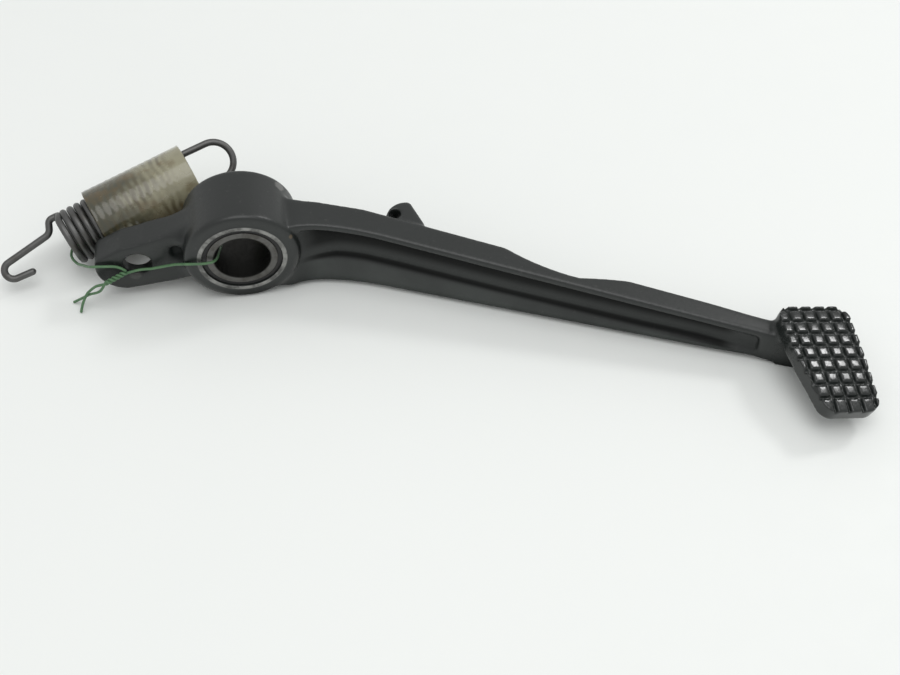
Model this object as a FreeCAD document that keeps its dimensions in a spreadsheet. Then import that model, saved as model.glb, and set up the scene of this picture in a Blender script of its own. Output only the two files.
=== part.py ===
import FreeCAD, Part
import math
import os
import re
import Sketcher

# Brake pedal of a motorbike: a one-piece cast lever that turns on a steel sleeve,
# with its return spring and the hose over the spring's coils.
# Millimetres. The origin is the centre of the pivot bore. +Y runs along the bore,
# to the inner side, +X forward to the foot pad and +Z up.

doc = FreeCAD.newDocument("BrakePedal")
sheet = doc.addObject("Spreadsheet::Sheet", "Sizes")

SIZES = {
    # Pivot
    "bore_radius": 9.0,
    "sleeve_radius": 11.3,
    "running_clearance": 0.05,
    "hub_bore_radius": 12.8,
    "seal_width": 2.0,
    "seal_recess": 0.9,
    "sleeve_recess": 0.6,
    "seal_clearance": 0.1,
    "hub_radius": 18.5,
    "hub_front": 11.4,
    "hub_back": 10.9,
    "boss_radius": 14.4,
    "boss_width": 23.6,
    "boss_chamfer": 0.3,
    "hub_bevel": 0.9,
    # Tail with the push rod's eye
    "eye_x": -33.9,
    "eye_z": -4.1,
    "eye_radius": 4.5,
    "tail_end_radius": 10.2,
    "tail_end_x": -37.5,
    "tail_end_z": -5.0,
    "tail_front": 5.0,
    "tail_back": 5.3,
    "ear_thickness": 5.0,
    "tail_rib": 3.1,
    "tail_rise": 2.0,
    "tail_root": 9.5,
    "tail_top_drop": 4.2,
    "recess_depth": 1.8,
    "recess_length": 6.1,
    "recess_top": 6.2,
    "recess_height": 9.8,
    # Arm
    "arm_angle": 23.2,
    "arm_offset": 3.3,
    "arm_start": 13.0,
    "arm_length": 172.0,
    "root_top": 10.7,
    "tip_top": -4.9,
    "arm_bottom": -17.2,
    "root_thickness": 10.5,
    "tip_thickness": 7.0,
    "lip_height": 2.5,
    "root_channel": 3.4,
    "tip_channel": 1.8,
    "flange_edge": 2.5,
    "root_web_low": -6.2,
    "tip_web_low": -14.8,
    "arm_edge_bevel": 0.6,
    "waist_x": 110.5,
    "waist_thickness": 4.0,
    "waist_rear": 26.5,
    "waist_front": 18.5,
    "waist_rear_radius": 74.0,
    "waist_front_radius": 120.0,
    "waist_lean": 14.0,
    "root_back": 5.9,
    "root_flare": 38.0,
    "saddle_length": 17.0,
    "saddle_radius": 16.5,
    "foot_drop": 1.3,
    "end_length": 16.0,
    "end_radius": 7.0,
    # Lug behind the arm
    "lug_x": 50.0,
    "lug_length": 11.0,
    "lug_reach": 8.4,
    "lug_height": 5.0,
    "lug_top": 5.6,
    "lug_hole_radius": 1.9,
    # Foot pad
    "pad_ahead": 16.0,
    "pad_out": 8.14,
    "pad_z": -3.72,
    "pad_tilt": 6.3,
    "pad_dip": 10.0,
    "pad_length": 38.3,
    "pad_width": 24.2,
    "pad_taper": 5.2,
    "pad_front_taper": 1.0,
    "pad_plate": 4.2,
    "pad_corner": 4.5,
    "dome_radius": 200.0,
    "tread_pitch": 4.54,
    "tread_shift": 1.7,
    "tread_edge": 2.6,
    "tread_depth": 1.1,
    "tread_gap": 0.6,
    "tread_slope": 0.45,
    # Return spring and its hose
    "spring_wire": 2.35,
    "spring_outside": 19.0,
    "spring_turns": 16,
    "open_turns": 5,
    "bend_swell": 0.05,
    "spring_pitch": 2.45,
    "hose_inside": 19.4,
    "hose_outside": 23.4,
    "hose_length": 34.9,
    "hose_overhang": 6.5,
    "spring_x": -14.59,
    "spring_y": 28.24,
    "spring_z": 0.83,
    "spring_yaw": 19.78,
    "spring_dip": -9.44,
    "spring_roll": 45.79,
    "eye_hook_radius": 6.6,
    "eye_hook_reach": 15.2,
    "eye_hook_drop": 0.3,
    "eye_hook_sweep": 210.0,
    "free_hook_radius": 2.9,
    "free_hook_reach": 20.7,
    "free_hook_shoulder": 2.8,
    "free_hook_lead": 4.6,
    "free_hook_bend": 3.0,
    "free_hook_offset": 4.15,
    "free_hook_drop": 2.45,
    "free_hook_sweep": 168.0,
    "free_hook_elbow": 1.9,
    "free_hook_tip": 5.2,
}

for row, (alias, value) in enumerate(SIZES.items(), start=1):
    sheet.set(f"A{row}", alias.replace("_", " "))
    sheet.set(f"B{row}", str(value))
    sheet.setAlias(f"B{row}", alias)
doc.recompute()

ALIAS = re.compile(r"\b(" + "|".join(SIZES) + r")\b")


def bound(expression):
    """The same formula with each size read from the sheet."""
    return ALIAS.sub(r"Sizes.\1", str(expression))


def number(expression):
    """The value of a formula of sizes."""
    return float(sheet.evalExpression(bound(expression)))


def bind(item, **formulas):
    """Ties properties of an object to formulas of sizes."""
    for name, formula in formulas.items():
        item.setExpression(name, bound(formula))


def place(item, x=0, y=0, z=0, yaw=0, pitch=0, roll=0):
    """Ties an object's placement to formulas of sizes."""
    spot = f"vector({x}; {y}; {z})"
    turn = f"rotation({yaw}; {pitch}; {roll})"
    item.setExpression("Placement", bound(f"placement({spot}; {turn})"))


def new_body(name):
    body = doc.addObject("PartDesign::Body", name)
    body.Label = name
    return body


def origin_feature(body, role):
    return next(item for item in body.Origin.OriginFeatures if item.Role == role)


def new_sketch(body, name, role, shift=0, axis="1; 0; 0", angle=0):
    """A sketch on one of the body's origin planes, moved along the normal by shift
    and turned by angle degrees about an axis of its own."""
    sketch = body.newObject("Sketcher::SketchObject", name)
    sketch.AttachmentSupport = [(origin_feature(body, role), "")]
    sketch.MapMode = "FlatFace"
    spot = f"vector(0; 0; {shift})"
    turn = f"rotation(vector({axis}); {angle})"
    sketch.setExpression("AttachmentOffset", bound(f"placement({spot}; {turn})"))
    return sketch


def add_circle(sketch, x, y, radius):
    centre = FreeCAD.Vector(number(x), number(y), 0)
    index = sketch.addGeometry(Part.Circle(centre, FreeCAD.Vector(0, 0, 1), number(radius)))
    rules = [("Radius", (index,), radius)]
    rules.append(("DistanceX", (-1, 1, index, 3), x))
    rules.append(("DistanceY", (-1, 1, index, 3), y))
    tie(sketch, rules)


def tie(sketch, rules):
    """Adds constraints whose values are formulas of sizes."""
    for kind, elements, formula in rules:
        index = sketch.addConstraint(Sketcher.Constraint(kind, *elements, number(formula)))
        sketch.setExpression(f"Constraints[{index}]", bound(formula))


def shorter_arc(start, end, radius):
    """The shorter arc from start to end. A positive radius bulges to the right of the
    way from start to end, a negative one to the left."""
    chord = end - start
    right = FreeCAD.Vector(chord.y, -chord.x, 0).normalize()
    sagitta = abs(radius) - math.sqrt(radius * radius - chord.Length ** 2 / 4)
    middle = (start + end) / 2 + right * math.copysign(sagitta, radius)
    return Part.Arc(start, middle, end)


def add_outline(sketch, corners):
    """A closed outline. Each corner is (x, y) or (x, y, radius), formulas of sizes, and a
    radius makes the side to the next corner an arc."""
    points = [FreeCAD.Vector(number(corner[0]), number(corner[1]), 0) for corner in corners]
    count = len(points)
    ends = []
    for index, corner in enumerate(corners):
        start = points[index]
        end = points[(index + 1) % count]
        if len(corner) == 2:
            piece = sketch.addGeometry(Part.LineSegment(start, end))
            ends.append(((piece, 1), (piece, 2)))
            continue
        piece = sketch.addGeometry(shorter_arc(start, end, number(corner[2])))
        first = sketch.getPoint(piece, 1)
        forward = first.distanceToPoint(start) < first.distanceToPoint(end)
        ends.append(((piece, 1), (piece, 2)) if forward else ((piece, 2), (piece, 1)))
        tie(sketch, [("Radius", (piece,), f"abs({corner[2]})")])
    for index, corner in enumerate(corners):
        here = ends[index][0]
        before = ends[index - 1][1]
        sketch.addConstraint(Sketcher.Constraint("Coincident", *before, *here))
        tie(sketch, [("DistanceX", (-1, 1, *here), corner[0]), ("DistanceY", (-1, 1, *here), corner[1])])


def add_pad(body, name, sketch, length, middle=False):
    pad = body.newObject("PartDesign::Pad", name)
    pad.Profile = sketch
    pad.Midplane = middle
    bind(pad, Length=length)
    return pad


def add_pocket(body, name, sketch, length=None, reverse=False, middle=False):
    """A pocket of the given depth, or right through where none is given."""
    pocket = body.newObject("PartDesign::Pocket", name)
    pocket.Profile = sketch
    pocket.Reversed = reverse
    pocket.Midplane = middle
    if length is None:
        pocket.Type = "ThroughAll"
    else:
        bind(pocket, Length=length)
    return pocket


def dress_edges(body, kind, name, chosen, **sizes):
    """A fillet or chamfer on the edges of the body's tip that the function chosen picks."""
    doc.recompute()
    base = body.Tip
    edges = [f"Edge{i}" for i, edge in enumerate(base.Shape.Edges, start=1) if chosen(edge)]
    dressing = body.newObject(f"PartDesign::{kind}", name)
    dressing.Base = (base, edges)
    bind(dressing, **sizes)


# Hub and tail
hub = new_body("HubAndTail")

sketch = new_sketch(hub, "HubOutline", "XZ_Plane", shift="-hub_back")
add_circle(sketch, 0, 0, "hub_radius")
add_pad(hub, "HubBlock", sketch, "hub_front + hub_back")


def is_rim(edge):
    """Full circles: the rims of the hub."""
    return len(edge.Vertexes) == 1


dress_edges(hub, "Chamfer", "HubRims", is_rim, Size="hub_bevel")

sketch = new_sketch(hub, "BossOutline", "XZ_Plane")
add_circle(sketch, 0, 0, "boss_radius")
add_pad(hub, "Bosses", sketch, "boss_width", middle=True)


def is_boss_rim(edge):
    """The rims of the two bosses, which stand furthest out."""
    return is_rim(edge) and abs(edge.Vertexes[0].Y) > number("boss_width / 2") - 0.01


dress_edges(hub, "Chamfer", "BossRims", is_boss_rim, Size="boss_chamfer")

# The tail's end is round, and its top drops in a slant behind the push rod's eye.
TAIL_TOP = "eye_z + eye_radius + tail_rib"
tail_outline = [
    ("-0.65 * hub_radius", "tail_root"),
    ("-0.94 * hub_radius", "0.68 * tail_root"),
    ("eye_x + 1.3 * eye_radius", f"{TAIL_TOP} + tail_rise"),
    ("eye_x - 0.9 * eye_radius", TAIL_TOP),
    ("tail_end_x - 0.9 * tail_end_radius", f"{TAIL_TOP} - tail_top_drop", "tail_end_radius"),
    ("tail_end_x - 0.1 * tail_end_radius", "tail_end_z - 0.995 * tail_end_radius"),
    ("-1.06 * hub_radius", "tail_end_z - 0.83 * tail_end_radius"),
    ("-0.65 * hub_radius", "tail_end_z - 0.83 * tail_end_radius"),
]
sketch = new_sketch(hub, "TailOutline", "XZ_Plane", shift="-tail_back")
add_outline(sketch, tail_outline)
add_pad(hub, "Tail", sketch, "tail_front + tail_back")

# Behind the eye only a rib along the top is left, so the ear fits into the rod's fork.
relief_outline = [
    ("eye_x + 2.2 * eye_radius", f"{TAIL_TOP} + tail_rise - tail_rib"),
    ("eye_x - 0.9 * eye_radius", f"{TAIL_TOP} - tail_rib"),
    ("tail_end_x - 1.5 * tail_end_radius", f"{TAIL_TOP} - tail_rib - 1.5 * tail_top_drop"),
    ("tail_end_x - 1.5 * tail_end_radius", "tail_end_z - 1.5 * tail_end_radius"),
    ("eye_x + 2.2 * eye_radius", "tail_end_z - 1.5 * tail_end_radius"),
]
sketch = new_sketch(hub, "EarRelief", "XZ_Plane", shift="-tail_back")
add_outline(sketch, relief_outline)
add_pocket(hub, "EarReliefCut", sketch, "tail_front + tail_back - ear_thickness", reverse=True)

sketch = new_sketch(hub, "PushRodEye", "XZ_Plane")
add_circle(sketch, "eye_x", "eye_z", "eye_radius")
add_pocket(hub, "PushRodEyeCut", sketch, "4 * tail_front", middle=True)

# A cast recess on the outer face, between the ear and the hub.
RECESS_END = "-0.9 * hub_radius"
recess_outline = [
    (f"{RECESS_END} - recess_length", "recess_top - 0.9 * recess_height"),
    (RECESS_END, "recess_top - recess_height"),
    (RECESS_END, "recess_top"),
    (f"{RECESS_END} - recess_length", "recess_top - 0.12 * recess_height"),
]
sketch = new_sketch(hub, "TailRecess", "XZ_Plane", shift="tail_front")
add_outline(sketch, recess_outline)
add_pocket(hub, "TailRecessCut", sketch, "recess_depth")

# Arm: a tapered channel section, leaning outwards from the hub. Its own frame has X along
# the arm and Y to its back.
arm = new_body("Arm")
place(arm, yaw="-arm_angle")


def arm_section(name, along, top, thickness, channel, web_low):
    sketch = new_sketch(arm, name, "YZ_Plane", shift=along)
    front = "arm_offset"
    web = f"arm_offset + {channel}"
    back = f"arm_offset + {thickness}"
    bevel = "arm_edge_bevel"
    add_outline(sketch, [
        (f"{front} + {bevel}", top),
        (front, f"{top} - {bevel}"),
        (front, f"{top} - lip_height"),
        (web, f"{top} - lip_height - 0.5 * {channel}"),
        (web, web_low),
        (front, "arm_bottom + flange_edge"),
        (front, f"arm_bottom + {bevel}"),
        (f"{front} + {bevel}", "arm_bottom"),
        (f"{back} - {bevel}", "arm_bottom"),
        (back, f"arm_bottom + {bevel}"),
        (back, f"{top} - {bevel}"),
        (f"{back} - {bevel}", top),
    ])
    return sketch


loft = arm.newObject("PartDesign::AdditiveLoft", "ArmChannel")
root = arm_section("RootSection", "arm_start", "root_top",
                   "root_thickness", "root_channel", "root_web_low")
tip = arm_section("TipSection", "arm_length", "tip_top",
                  "tip_thickness", "tip_channel", "tip_web_low")
loft.Profile = root
loft.Sections = [tip]
loft.Ruled = True

# The top runs up to the hub in a hollow curve.
saddle_outline = [
    ("0.72 * arm_start", "0.71 * hub_radius", "saddle_radius"),
    ("arm_start + saddle_length", "root_top - 0.1 * saddle_length"),
    ("arm_start + saddle_length", "0.6 * root_top"),
    ("0.72 * arm_start", "0.6 * root_top"),
]
sketch = new_sketch(arm, "SaddleOutline", "XZ_Plane", shift="-arm_offset - root_thickness")
add_outline(sketch, saddle_outline)
add_pad(arm, "Saddle", sketch, "root_thickness")

# The arm is thinner where it leaves the hub, and its back flares out from there.
BEHIND = "arm_offset + 2.3 * root_thickness"
root_outline = [
    ("0.5 * arm_start", "arm_offset + root_back"),
    ("root_flare", "arm_offset + 0.93 * root_thickness"),
    ("root_flare", BEHIND),
    ("0.5 * arm_start", BEHIND),
]
sketch = new_sketch(arm, "RootOutline", "XY_Plane")
add_outline(sketch, root_outline)
add_pocket(arm, "RootCut", sketch, "8 * root_thickness", middle=True)

# Behind the middle of the arm a long hollow clears the engine's cover. It leans, so that
# the arm keeps more thickness lower down.
waist_outline = [
    ("waist_x - waist_rear", "arm_offset + 0.93 * root_thickness", "waist_rear_radius"),
    ("waist_x", "arm_offset + waist_thickness", "-waist_front_radius"),
    ("waist_x + waist_front", "arm_offset + 1.1 * tip_thickness"),
    ("waist_x + waist_front", BEHIND),
    ("waist_x - waist_rear", BEHIND),
]
sketch = new_sketch(arm, "WaistOutline", "XY_Plane", angle="waist_lean")
add_outline(sketch, waist_outline)
add_pocket(arm, "WaistCut", sketch, "8 * root_thickness", middle=True)

# The solid end under the foot pad, which stands a little lower than the arm.
END_OVERLAP = "arm_length - 0.2 * end_length"
end_outline = [
    (END_OVERLAP, "tip_top"),
    ("arm_length + end_length", "tip_top - 0.3 * end_radius"),
    ("arm_length + end_length", "arm_bottom + 0.7 * end_radius", "-end_radius"),
    ("arm_length + 0.55 * end_length", "arm_bottom - foot_drop"),
    ("arm_length + 0.2 * end_length", "arm_bottom - foot_drop"),
    (END_OVERLAP, "arm_bottom"),
]
sketch = new_sketch(arm, "EndOutline", "XZ_Plane", shift="-arm_offset - tip_thickness")
add_outline(sketch, end_outline)
add_pad(arm, "ArmEnd", sketch, "tip_thickness")

# Lug for the stop switch's spring: a flat fin behind the arm with a round nose.
LUG_BASE = "arm_offset + 0.65 * root_thickness"
LUG_BACK = "arm_offset + root_thickness"
lug_outline = [
    ("lug_x + 0.78 * lug_length", LUG_BASE),
    ("lug_x + 0.78 * lug_length", LUG_BACK),
    ("lug_x + 0.21 * lug_length", f"{LUG_BACK} + 0.87 * lug_reach", "0.2 * lug_length"),
    ("lug_x - 0.03 * lug_length", f"{LUG_BACK} + lug_reach", "0.6 * lug_length"),
    ("lug_x - 0.44 * lug_length", f"{LUG_BACK} + 0.25 * lug_reach"),
    ("lug_x - 0.44 * lug_length", LUG_BASE),
]
sketch = new_sketch(arm, "LugOutline", "XY_Plane", shift="lug_top - lug_height")
add_outline(sketch, lug_outline)
add_pad(arm, "Lug", sketch, "lug_height")

sketch = new_sketch(arm, "LugHole", "XY_Plane", shift="lug_top")
add_circle(sketch, "lug_x - 0.2 * lug_length", f"{LUG_BACK} + 0.26 * lug_reach", "lug_hole_radius")
add_pocket(arm, "LugHoleCut", sketch, "2 * lug_height", middle=True)

# Foot pad: a plate bent about an axis across it, with a tread of blunt pyramids. Its own
# frame has X along that axis.
foot = new_body("FootPad")
place(
    foot,
    x="arm_length * cos(arm_angle) + pad_ahead - dome_radius * cos(pad_tilt) * sin(pad_dip)",
    y="-arm_length * sin(arm_angle) - pad_out + dome_radius * sin(pad_tilt)",
    z="pad_z - dome_radius * cos(pad_tilt) * cos(pad_dip)",
    pitch="pad_dip",
    roll="pad_tilt",
)
PAD_ARC = "pad_length / dome_radius * 180 / pi"

sketch = new_sketch(foot, "PlateSection", "XZ_Plane")
add_outline(sketch, [
    ("-pad_width / 2", "dome_radius - pad_plate - tread_depth"),
    ("pad_width / 2", "dome_radius - pad_plate - tread_depth"),
    ("pad_width / 2", "dome_radius"),
    ("-pad_width / 2", "dome_radius"),
])
plate = foot.newObject("PartDesign::Revolution", "Plate")
plate.Profile = sketch
plate.ReferenceAxis = (sketch, ["H_Axis"])
plate.Midplane = True
bind(plate, Angle=PAD_ARC)

# Both long edges taper towards the outer end, the rear one from the pad's middle on.
REAR = "-pad_width / 2"
FRONT = "pad_width / 2"
sketch = new_sketch(foot, "RearTaper", "XY_Plane")
add_outline(sketch, [
    (REAR, "0.09 * pad_length"),
    (f"{REAR} - 1", "0.09 * pad_length"),
    (f"{REAR} - 1", "-pad_length / 2"),
    (f"{REAR} + pad_taper", "-pad_length / 2"),
])
add_pocket(foot, "RearTaperCut", sketch, "2 * dome_radius", reverse=True)

sketch = new_sketch(foot, "FrontTaper", "XY_Plane")
add_outline(sketch, [
    (FRONT, "pad_length / 2"),
    (f"{FRONT} - pad_front_taper", "-pad_length / 2"),
    (f"{FRONT} + 1", "-pad_length / 2"),
    (f"{FRONT} + 1", "pad_length / 2"),
])
add_pocket(foot, "FrontTaperCut", sketch, "2 * dome_radius", reverse=True)


def is_upright(edge):
    """Edges through the plate's thickness, at the corners of its outline."""
    if len(edge.Vertexes) != 2 or abs(edge.Vertexes[0].Y) < number("pad_length / 4"):
        return False
    span = edge.Vertexes[1].Point - edge.Vertexes[0].Point
    thickness = number("pad_plate + tread_depth")
    return abs(span.z) > 0.6 * thickness and span.Length < 2 * thickness


dress_edges(foot, "Fillet", "PadCorners", is_upright, Radius="pad_corner")


def groove_corners(centre):
    """A groove with sloped walls, cut down from the top of the dome."""
    half_top = "tread_gap / 2 + tread_slope"
    half_low = "tread_gap / 2"
    return [
        (f"{centre} - ({half_low})", "dome_radius - tread_depth"),
        (f"{centre} + ({half_low})", "dome_radius - tread_depth"),
        (f"{centre} + ({half_top})", "dome_radius + 0.2"),
        (f"{centre} - ({half_top})", "dome_radius + 0.2"),
    ]


COLUMN_GROOVES = 5
TREAD_ROWS = 9
for column in range(COLUMN_GROOVES):
    centre = f"{FRONT} - tread_edge - {column} * tread_pitch"
    sketch = new_sketch(foot, f"ColumnGroove{column}", "XZ_Plane")
    add_outline(sketch, groove_corners(centre))
    groove = foot.newObject("PartDesign::Groove", f"ColumnGrooveCut{column}")
    groove.Profile = sketch
    groove.ReferenceAxis = (sketch, ["H_Axis"])
    groove.Midplane = True
    bind(groove, Angle=f"{PAD_ARC} + 4")

ROW_STEP = "tread_pitch / dome_radius * 180 / pi"
FIRST_ROW = f"{TREAD_ROWS / 2 - 1} * {ROW_STEP} - tread_shift / dome_radius * 180 / pi"
sketch = new_sketch(foot, "RowGroove", "YZ_Plane", axis="0; 0; 1", angle=FIRST_ROW)
add_outline(sketch, groove_corners("0"))
row_groove = add_pocket(foot, "RowGrooveCut", sketch, "3 * pad_width", middle=True)
rows = foot.newObject("PartDesign::PolarPattern", "RowGrooves")
rows.Originals = [row_groove]
rows.Axis = (origin_feature(foot, "X_Axis"), [""])
rows.Reversed = True
rows.Occurrences = TREAD_ROWS - 1
bind(rows, Angle=f"{TREAD_ROWS - 2} * {ROW_STEP}")
foot.Tip = rows

# The lever is one casting, bored through for the pivot.
casting = doc.addObject("Part::MultiFuse", "Casting")
casting.Shapes = [hub, arm, foot]
casting.Refine = False
pivot_hole = doc.addObject("Part::Cylinder", "PivotHole")
bind(pivot_hole, Radius="hub_bore_radius", Height="2 * boss_width")
place(pivot_hole, y="boss_width", roll=90)
lever = doc.addObject("Part::Cut", "Lever")
lever.Base = casting
lever.Tool = pivot_hole
lever.Label = "pedal_lever"


def add_ring(name, inside, outside, start, length):
    """A ring about the bore. It begins at start, measured to the outer side, and runs on
    to the outer side."""
    body = new_body(name)
    sketch = new_sketch(body, name + "_rings", "XZ_Plane", shift=start)
    add_circle(sketch, 0, 0, inside)
    add_circle(sketch, 0, 0, outside)
    add_pad(body, name + "_pad", sketch, length)
    return body


HALF = "boss_width / 2"
SEAL_FACE = f"{HALF} - seal_recess"
BUSH_END = f"{SEAL_FACE} - seal_width"
sleeve = add_ring("pivot_sleeve", "bore_radius", "sleeve_radius",
                  f"-({HALF} - sleeve_recess)", "boss_width - 2 * sleeve_recess")
bush = add_ring("pivot_bush", "sleeve_radius + running_clearance", "hub_bore_radius",
                f"-({BUSH_END})", f"2 * ({BUSH_END})")
outer_seal = add_ring("outer_dust_seal", "sleeve_radius + seal_clearance", "hub_bore_radius",
                      BUSH_END, "seal_width")
inner_seal = add_ring("inner_dust_seal", "sleeve_radius + seal_clearance", "hub_bore_radius",
                      f"-({SEAL_FACE})", "seal_width")


def rounded_path(points, radii):
    """A wire of straight runs whose inner corners are arcs of the given radii."""
    edges = []
    start = points[0]
    for corner, following, radius in zip(points[1:-1], points[2:], radii):
        back = (start - corner).normalize()
        ahead = (following - corner).normalize()
        half = back.getAngle(ahead) / 2
        reach = radius / math.tan(half)
        first = corner + back * reach
        last = corner + ahead * reach
        middle = corner + (back + ahead).normalize() * (radius / math.sin(half) - radius)
        edges.append(Part.LineSegment(start, first).toShape())
        edges.append(Part.Arc(first, middle, last).toShape())
        start = last
    edges.append(Part.LineSegment(start, points[-1]).toShape())
    return Part.Wire(edges)


WIRE_SIDES = 6
SQUARE_CORNERS = 1


def wire_along(path, radius):
    """A solid wire along a path. Its section has six sides, which keeps it light."""
    first = path.OrderedEdges[0]
    begin = path.OrderedVertexes[0].Point
    circle = Part.makeCircle(radius, begin, first.tangentAt(first.FirstParameter))
    corners = [circle.valueAt(2 * math.pi * side / WIRE_SIDES) for side in range(WIRE_SIDES)]
    return path.makePipeShell([Part.makePolygon(corners + corners[:1])], True, True, SQUARE_CORNERS)


# Return spring. Its own frame has X along the coils, from the free hook to the eye hook,
# and its origin at the hose's end beside the eye hook. Both hooks lie in its XY plane.
wire_radius = number("spring_wire / 2")
coil_radius = number("spring_outside / 2 - spring_wire / 2")
coil_length = number("spring_turns * spring_pitch")
coil_end = FreeCAD.Vector(-number("hose_overhang"), coil_radius, 0)
coil_start = coil_end - FreeCAD.Vector(coil_length, 0, 0)

# The turns that stand out of the hose are wound, each in short straight runs. The rest,
# inside it, touch each other and are one tube.
RUNS_A_TURN = 24
open_length = number("open_turns * spring_pitch")
winding = []
for run in range(int(number("open_turns")) * RUNS_A_TURN + 1):
    angle = 2 * math.pi * run / RUNS_A_TURN
    x = coil_start.x + number("spring_pitch") * run / RUNS_A_TURN
    winding.append(FreeCAD.Vector(x, coil_radius * math.cos(angle), coil_radius * math.sin(angle)))
coil = wire_along(Part.makePolygon(winding), wire_radius)
tube_start = FreeCAD.Vector(coil_start.x + open_length - number("spring_pitch / 2"), 0, 0)
tube_length = coil_end.x + wire_radius - tube_start.x
along = FreeCAD.Vector(1, 0, 0)
tube = Part.makeCylinder(coil_radius + wire_radius, tube_length, tube_start, along)
tube = tube.cut(Part.makeCylinder(coil_radius - wire_radius, tube_length, tube_start, along))

# The eye hook: a slanting leg that ends in an open eye.
leg_end = coil_end + FreeCAD.Vector(number("eye_hook_reach"), -number("eye_hook_drop"), 0)
leg = (leg_end - coil_end).normalize()
eye_spoke = FreeCAD.Vector(-leg.y, leg.x, 0) * number("eye_hook_radius")
eye_centre = leg_end - eye_spoke


def swung(centre, spoke, degrees):
    """The end of a spoke from the centre, turned in the hooks' plane."""
    return centre + FreeCAD.Rotation(FreeCAD.Vector(0, 0, 1), degrees).multVec(spoke)


eye_sweep = number("eye_hook_sweep")
eye_middle = swung(eye_centre, eye_spoke, -eye_sweep / 2)
eye_arc = Part.Arc(leg_end, eye_middle, swung(eye_centre, eye_spoke, -eye_sweep))
eye_path = Part.Wire([Part.LineSegment(coil_end, leg_end).toShape(), eye_arc.toShape()])

# The free hook: it leaves the coil at its rim, comes in to the axis, runs along it and
# turns back.
shoulder = coil_start - FreeCAD.Vector(number("free_hook_shoulder"), 0, 0)
lead_in = FreeCAD.Vector(coil_start.x - number("free_hook_lead"), number("free_hook_offset"), 0)
turn_y = number("free_hook_offset - free_hook_drop")
turn_start = FreeCAD.Vector(coil_start.x - number("free_hook_reach"), turn_y, 0)
shank = (turn_start - lead_in).normalize()
turn_spoke = FreeCAD.Vector(shank.y, -shank.x, 0) * number("free_hook_radius")
turn_centre = turn_start - turn_spoke
turn_sweep = number("free_hook_sweep")
turn_middle = swung(turn_centre, turn_spoke, turn_sweep / 2)
turn_end = swung(turn_centre, turn_spoke, turn_sweep)
hook_tip = turn_end + swung(FreeCAD.Vector(), shank, turn_sweep) * number("free_hook_tip")
bends = [number("free_hook_elbow"), number("free_hook_bend")]
free_path = rounded_path([coil_start, shoulder, lead_in, turn_start], bends)
free_edges = free_path.Edges
free_edges.append(Part.Arc(turn_start, turn_middle, turn_end).toShape())
free_edges.append(Part.LineSegment(turn_end, hook_tip).toShape())
free_path = Part.Wire(free_edges)

# A round knuckle where the wire turns out of the coil into the free hook.
to_hook = (shoulder - coil_start).normalize()
across = FreeCAD.Vector(-to_hook.y, to_hook.x, 0)
knuckle_radius = number("spring_wire / 2 + bend_swell")
knuckle_base = coil_start - across * knuckle_radius
spring_shape = coil
for piece in (
    tube,
    Part.makeCylinder(knuckle_radius, 2 * knuckle_radius, knuckle_base, across),
    wire_along(free_path, wire_radius),
    wire_along(eye_path, wire_radius),
):
    spring_shape = spring_shape.fuse(piece)
spring = doc.addObject("Part::Feature", "ReturnSpring")
spring.Label = "return_spring"
spring.Shape = spring_shape

# The hose over the spring's coils.
hose = new_body("spring_hose")
sketch = new_sketch(hose, "HoseRings", "YZ_Plane", shift="-hose_length")
add_circle(sketch, 0, 0, "hose_inside / 2")
add_circle(sketch, 0, 0, "hose_outside / 2")
add_pad(hose, "HoseWall", sketch, "hose_length")

for item in (spring, hose):
    place(
        item,
        x="spring_x",
        y="spring_y",
        z="spring_z",
        yaw="spring_yaw",
        pitch="spring_dip",
        roll="spring_roll",
    )

doc.recompute()
nodes = [lever, sleeve, bush, outer_seal, inner_seal, spring, hose]
for item in doc.Objects:
    if "Invalid" in item.State or "Error" in item.State:
        raise RuntimeError(f"{item.Name} failed to build")
for node in nodes:
    if node.Shape.isNull() or not node.Shape.isValid():
        raise RuntimeError(f"{node.Label} has no valid shape")

os.makedirs("parts", exist_ok=True)
for node in nodes:
    node.Shape.exportStep(f"parts/{node.Label}.step")
    box = node.Shape.BoundBox
    print(f"{node.Label}: {len(node.Shape.Solids)} solid, {node.Shape.Volume:.0f} mm3,",
          f"x {box.XMin:.1f} to {box.XMax:.1f}, y {box.YMin:.1f} to {box.YMax:.1f},",
          f"z {box.ZMin:.1f} to {box.ZMax:.1f}")
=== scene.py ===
# %% [markdown]
# # A brake pedal, dressed
# The CAD model arrives as a fixed frame: a cast lever, its pivot sleeve, a return spring and the
# hose over the spring. This notebook gives each of them its surface, draws the spring's wire and
# the aged hose as numpy surfaces, ties the spring on with a thin wire, and sets a plain studio
# with the camera of the photograph.
#
# Lengths are metres where a cell says nothing else. The origin is the centre of the pivot bore, +Y
# runs along it away from the viewer, +X forward to the foot pad and +Z up.

import math

import bmesh
import bpy
import numpy as np
from mathutils import Matrix, Vector


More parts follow.
